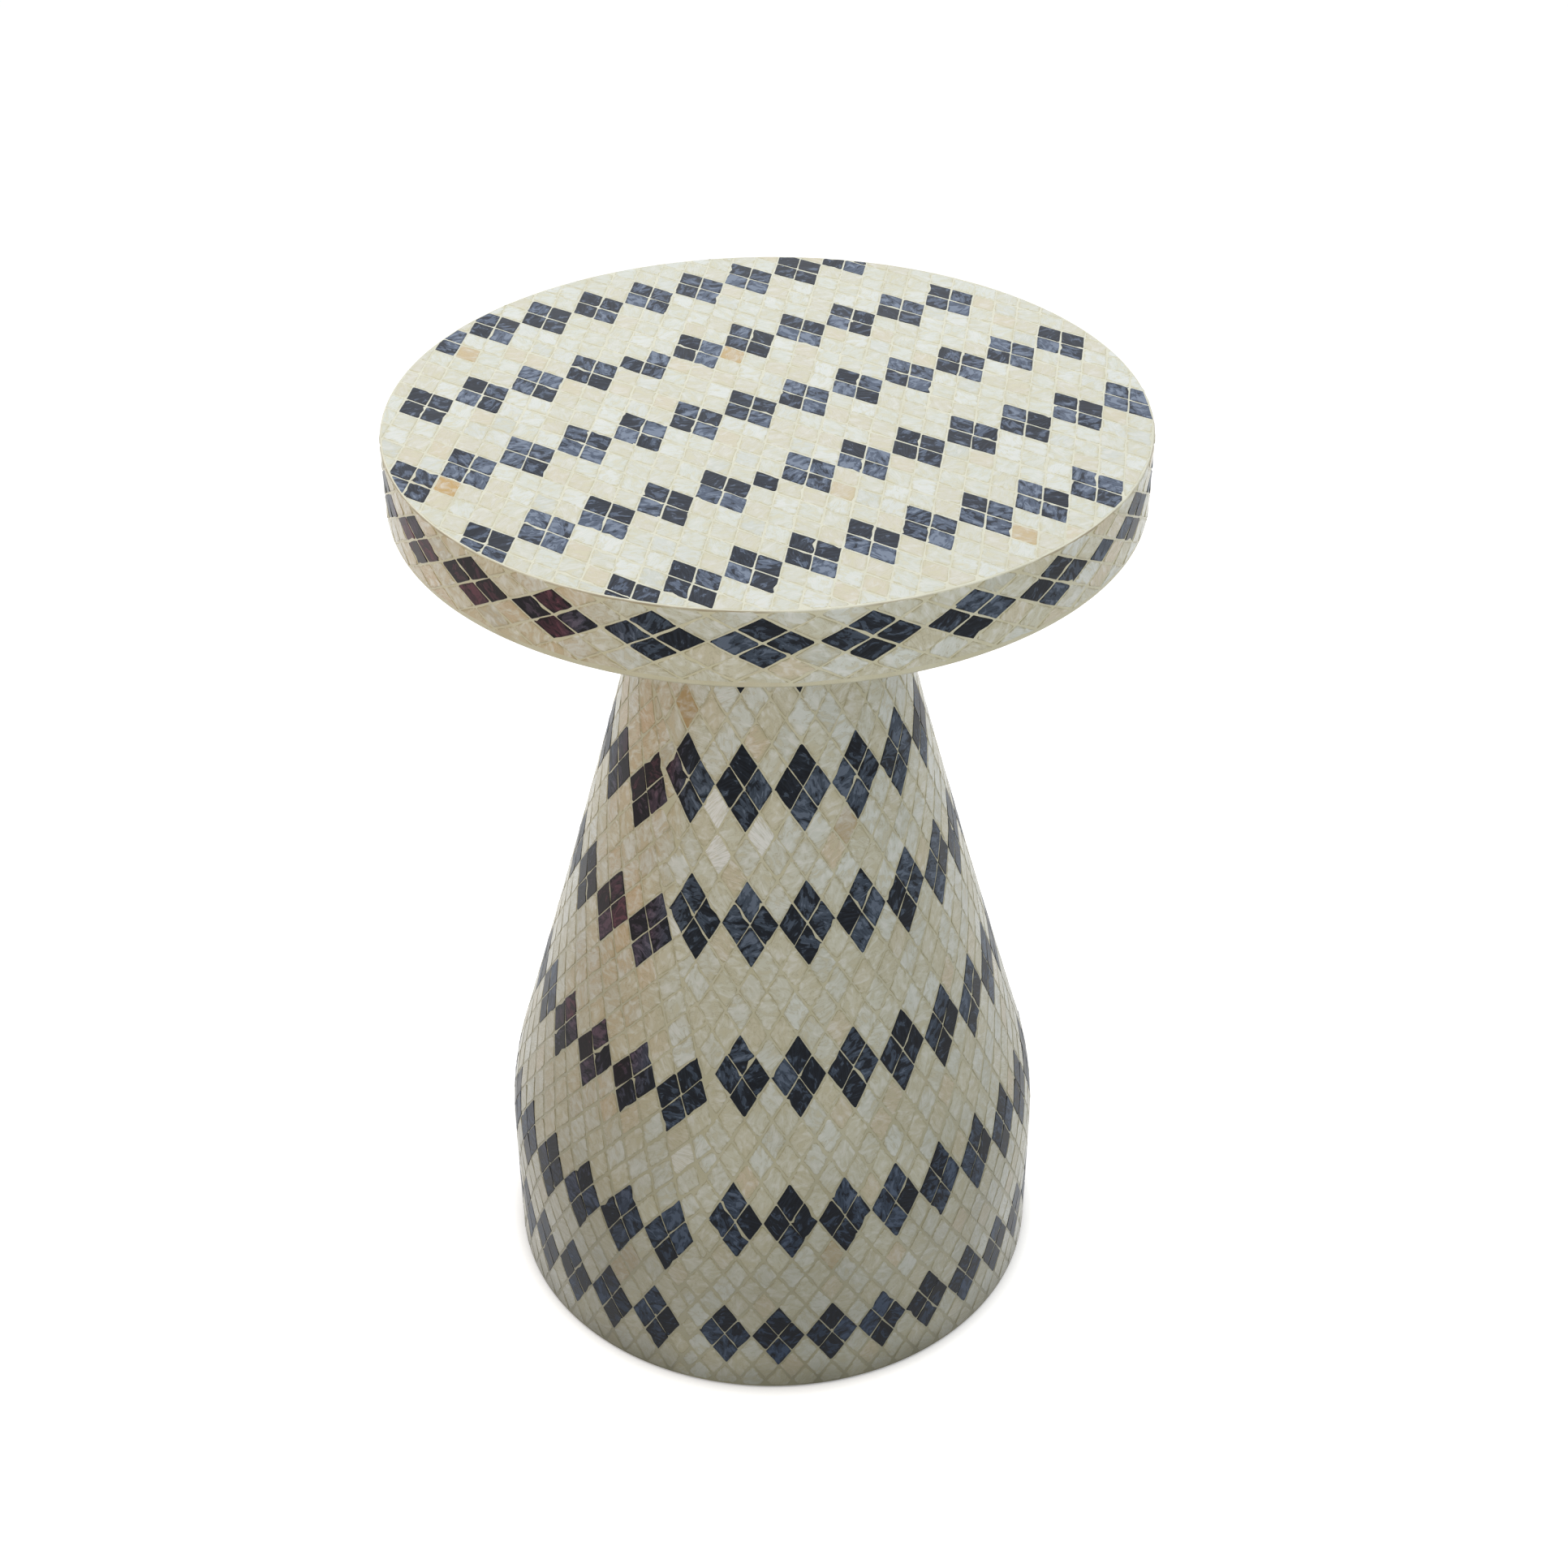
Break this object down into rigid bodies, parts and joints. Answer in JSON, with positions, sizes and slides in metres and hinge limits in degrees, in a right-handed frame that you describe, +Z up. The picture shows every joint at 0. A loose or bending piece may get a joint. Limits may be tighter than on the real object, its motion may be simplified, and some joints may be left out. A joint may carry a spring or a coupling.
{
  "type": "side table",
  "caption": "Round side table: a thick disc top on a hollow drum-and-cone pedestal, covered all over with a mosaic of cream and dark shell rhombs.",
  "frame": {"origin": "on the floor, under the middle of the table", "axes": "+Z up, -Y towards the picture's viewer"},
  "size_m": [0.3606, 0.3606, 0.508],
  "materials": {
    "light_shell": "lacquered shell",
    "dark_shell": "lacquered dyed shell",
    "grout": "lacquered grout",
    "fibreboard": "painted fibreboard",
    "black_board": "painted black",
    "plywood": "raw plywood",
    "softwood": "planed",
    "zinc_steel": "zinc plated",
    "insert_brass": "bright",
    "nylon": "satin"
  },
  "bodies": {
    "root": {"top_upper_board": "fibreboard", "top_under_board": "fibreboard", "bottom_board": "black_board", "top_bed": "grout", "rim_bed": "grout", "body_bed": "grout", "top_light_tiles": "light_shell", "rim_light_tiles": "light_shell", "body_light_tiles": "light_shell", "top_dark_tiles": "dark_shell", "rim_dark_tiles": "dark_shell", "body_dark_tiles": "dark_shell", "neck_plate": "plywood", "shoulder_ring": "plywood", "base_ring": "plywood", "cone_shell": "plywood", "drum_shell": "plywood", "cone_ribs": "plywood", "drum_posts": "softwood", "top_bolts": "zinc_steel", "bolt_washers": "zinc_steel", "rib_screws": "zinc_steel", "post_screws": "zinc_steel", "bottom_board_screws": "zinc_steel", "glide_screws": "zinc_steel", "threaded_inserts": "insert_brass", "glides": "nylon"}
  },
  "joints": []
}
